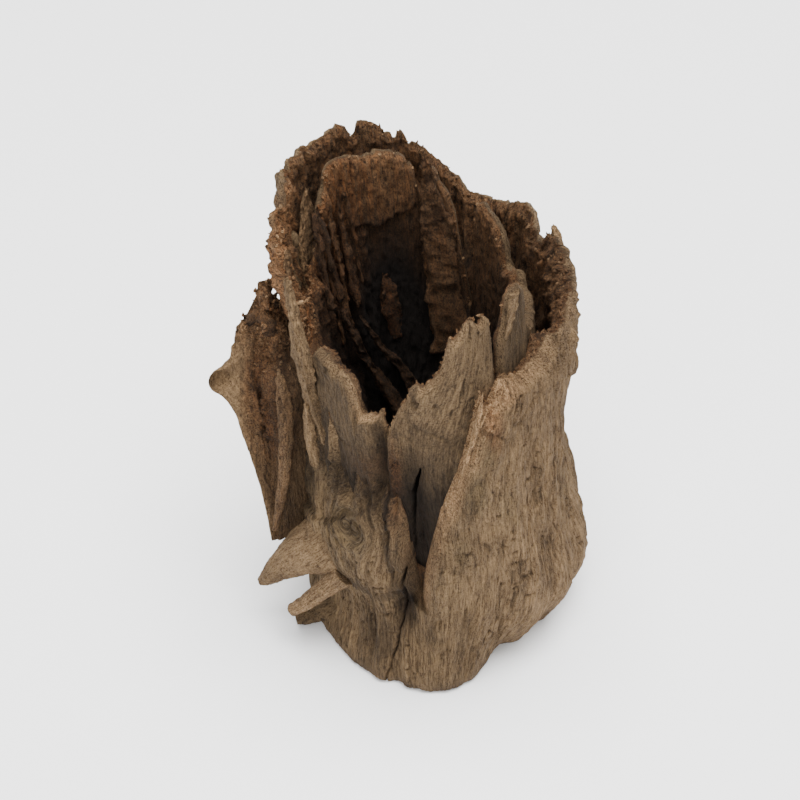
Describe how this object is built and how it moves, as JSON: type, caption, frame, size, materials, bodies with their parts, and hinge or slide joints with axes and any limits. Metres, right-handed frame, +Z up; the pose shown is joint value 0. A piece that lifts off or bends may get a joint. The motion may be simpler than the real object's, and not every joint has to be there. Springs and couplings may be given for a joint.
{
  "type": "driftwood stump",
  "caption": "Hollow weathered driftwood stump with a double jagged rim, a side fin and root stubs, standing upright on a flat foot; open at the top.",
  "frame": {"origin": "middle of the bounding box's footprint, on the floor under the flat foot", "axes": "+Z up the trunk towards the broken rim; -Y is the front, where the rims are lowest and the long cleft runs down; -X is the side of the fin and the root stubs"},
  "size_m": [0.1366, 0.1074, 0.1818],
  "materials": {
    "driftwood": "raw, weathered and unsealed: matt grey-brown to tan, with orange-brown rot on broken edges and near-black in the hollow"
  },
  "bodies": {
    "root": {"driftwood_stump": "driftwood"}
  },
  "joints": []
}
